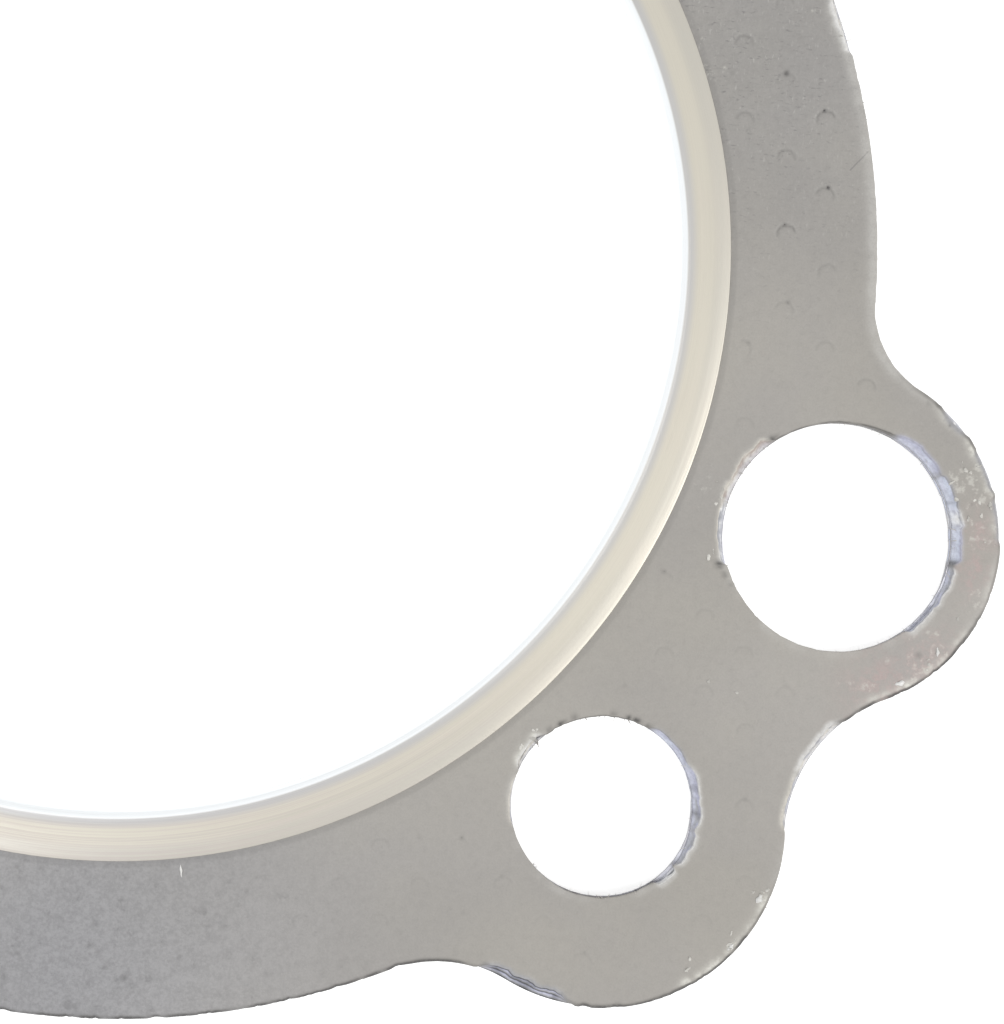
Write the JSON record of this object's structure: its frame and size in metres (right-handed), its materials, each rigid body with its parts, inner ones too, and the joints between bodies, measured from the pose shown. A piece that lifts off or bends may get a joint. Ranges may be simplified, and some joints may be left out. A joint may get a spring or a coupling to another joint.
{
  "type": "cylinder head gasket",
  "caption": "Flat cylinder head gasket of grey composite sheet, with a steel fire ring round the bore and rounded ears that hold stud and oil drain holes.",
  "frame": {"origin": "on the bore axis, on the plane that the underside of the fire ring rests on", "axes": "+Z along the bore axis towards the cylinder head, +X towards one of the oil drain ears' side, +Y away from the oil drain ears"},
  "size_m": [0.1436, 0.1228, 0.0017],
  "materials": {
    "facing": "matt, fine-grained graphite and fibre composite",
    "core_steel": "plain cold-rolled sheet",
    "ring_steel": "satin stainless strip"
  },
  "bodies": {
    "root": {"facing_top": "facing", "facing_bottom": "facing", "steel_core": "core_steel", "fire_ring": "ring_steel"}
  },
  "joints": []
}
